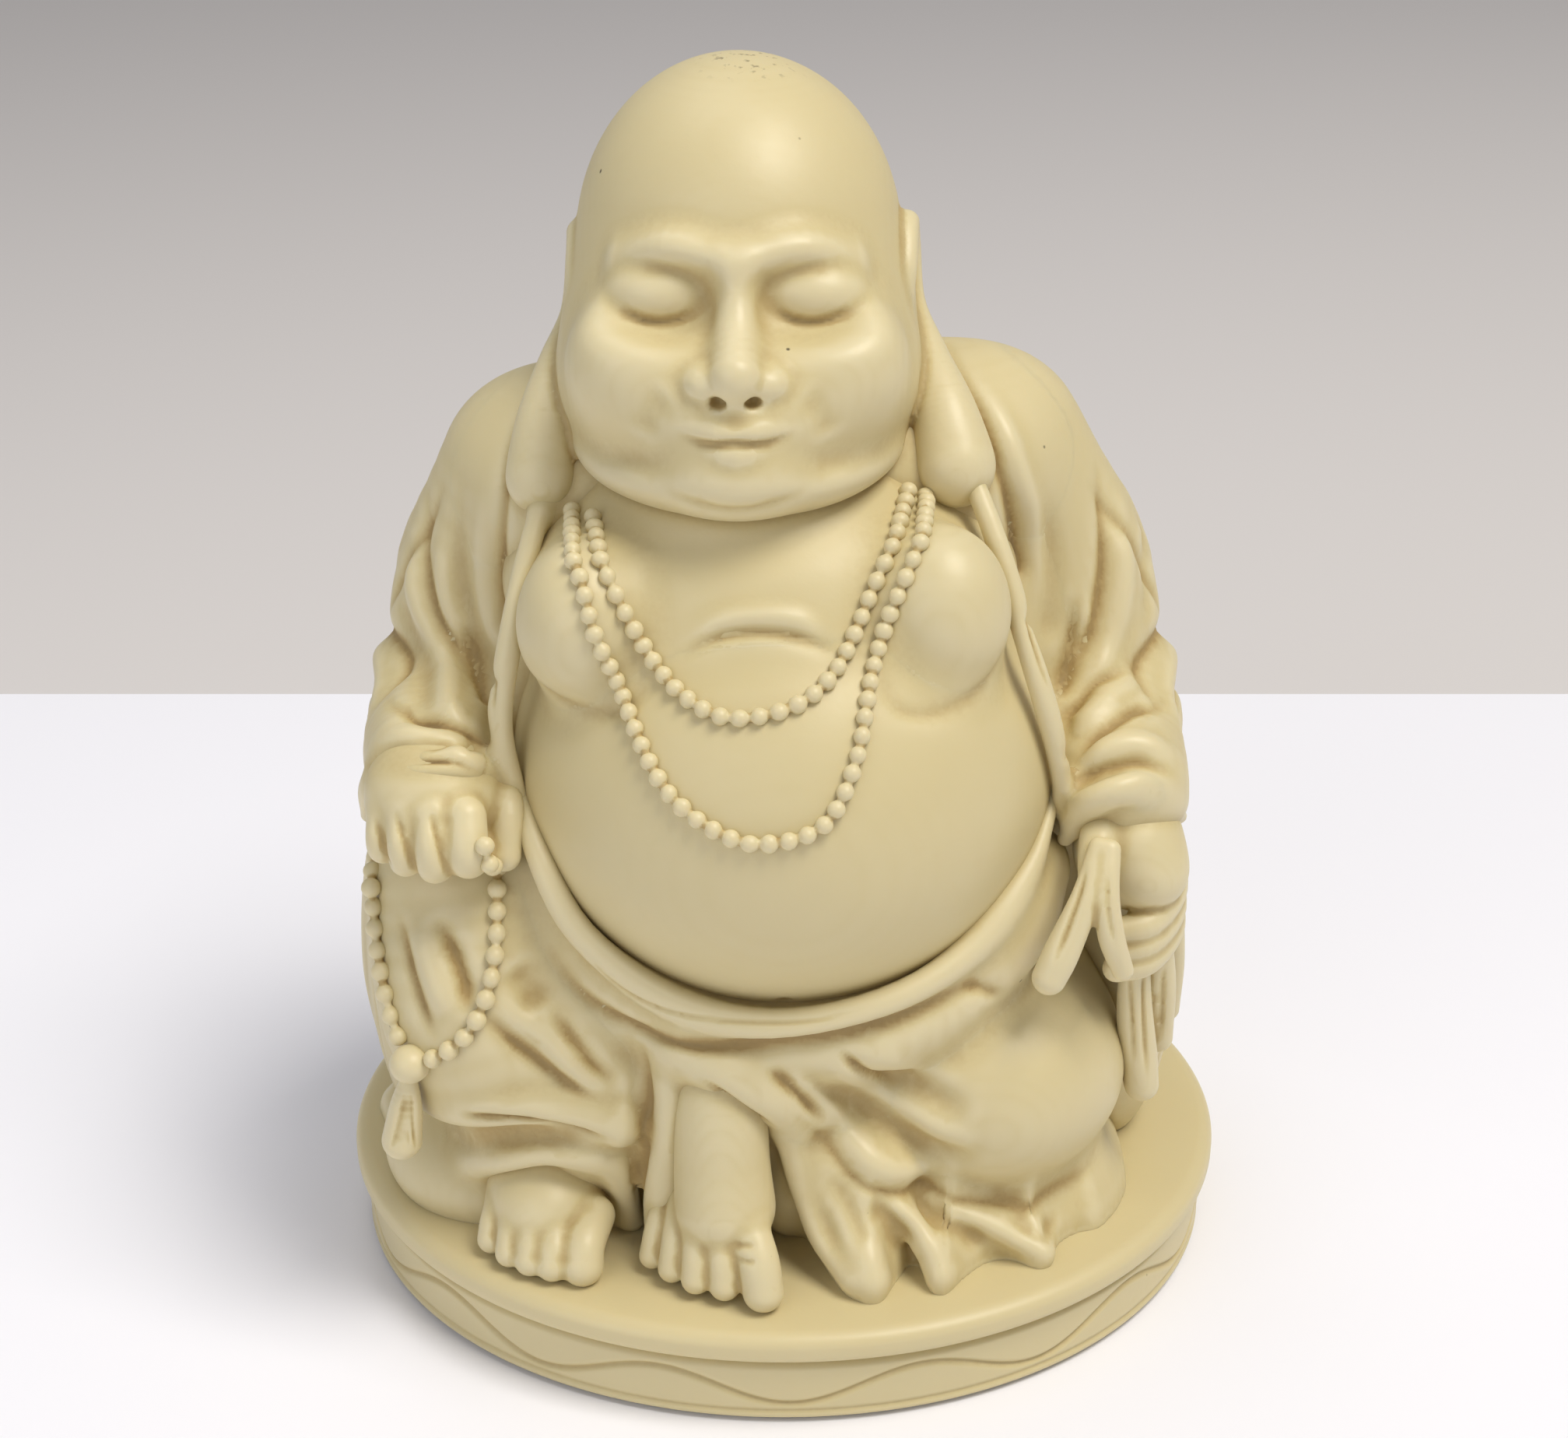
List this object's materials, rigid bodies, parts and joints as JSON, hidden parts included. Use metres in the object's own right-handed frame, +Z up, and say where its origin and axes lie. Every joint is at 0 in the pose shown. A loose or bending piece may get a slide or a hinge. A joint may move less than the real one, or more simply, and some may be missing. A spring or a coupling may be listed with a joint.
{
  "type": "buddha statue",
  "caption": "Seated laughing-monk figure in a loose robe with bead strands, one knee raised, on a low oval plinth with a felt underside.",
  "frame": {"origin": "middle of the felt pad's underside, on the surface that the figure stands on", "axes": "+Z up, the figure faces -Y, +X is the figure's left (a viewer's right)"},
  "size_m": [0.14, 0.128, 0.1845],
  "materials": {
    "ivory_resin": "satin cast resin, honey-brown patina in the creases",
    "felt": "short felt"
  },
  "bodies": {
    "root": {"felt_pad": "felt", "plinth_drum": "ivory_resin", "plinth_rim": "ivory_resin", "head": "ivory_resin", "ear_right": "ivory_resin", "ear_left": "ivory_resin", "belly": "ivory_resin", "chest": "ivory_resin", "waistband": "ivory_resin", "foot_right": "ivory_resin", "foot_left": "ivory_resin", "hand_right": "ivory_resin", "hand_left": "ivory_resin", "cloth_loops": "ivory_resin", "cloth_tail": "ivory_resin", "leg_right": "ivory_resin", "hem_right": "ivory_resin", "knee_left": "ivory_resin", "hem_left": "ivory_resin", "thigh_left": "ivory_resin", "lap": "ivory_resin", "cuff_right": "ivory_resin", "cuff_left": "ivory_resin", "lapel_right": "ivory_resin", "lapel_left": "ivory_resin", "sleeve_right": "ivory_resin", "sleeve_left": "ivory_resin", "shoulder_right": "ivory_resin", "shoulder_left": "ivory_resin", "mantle": "ivory_resin", "necklace_long": "ivory_resin", "necklace_short": "ivory_resin", "rosary_inner": "ivory_resin", "rosary_outer": "ivory_resin", "guru_bead": "ivory_resin", "tassel": "ivory_resin"}
  },
  "joints": []
}
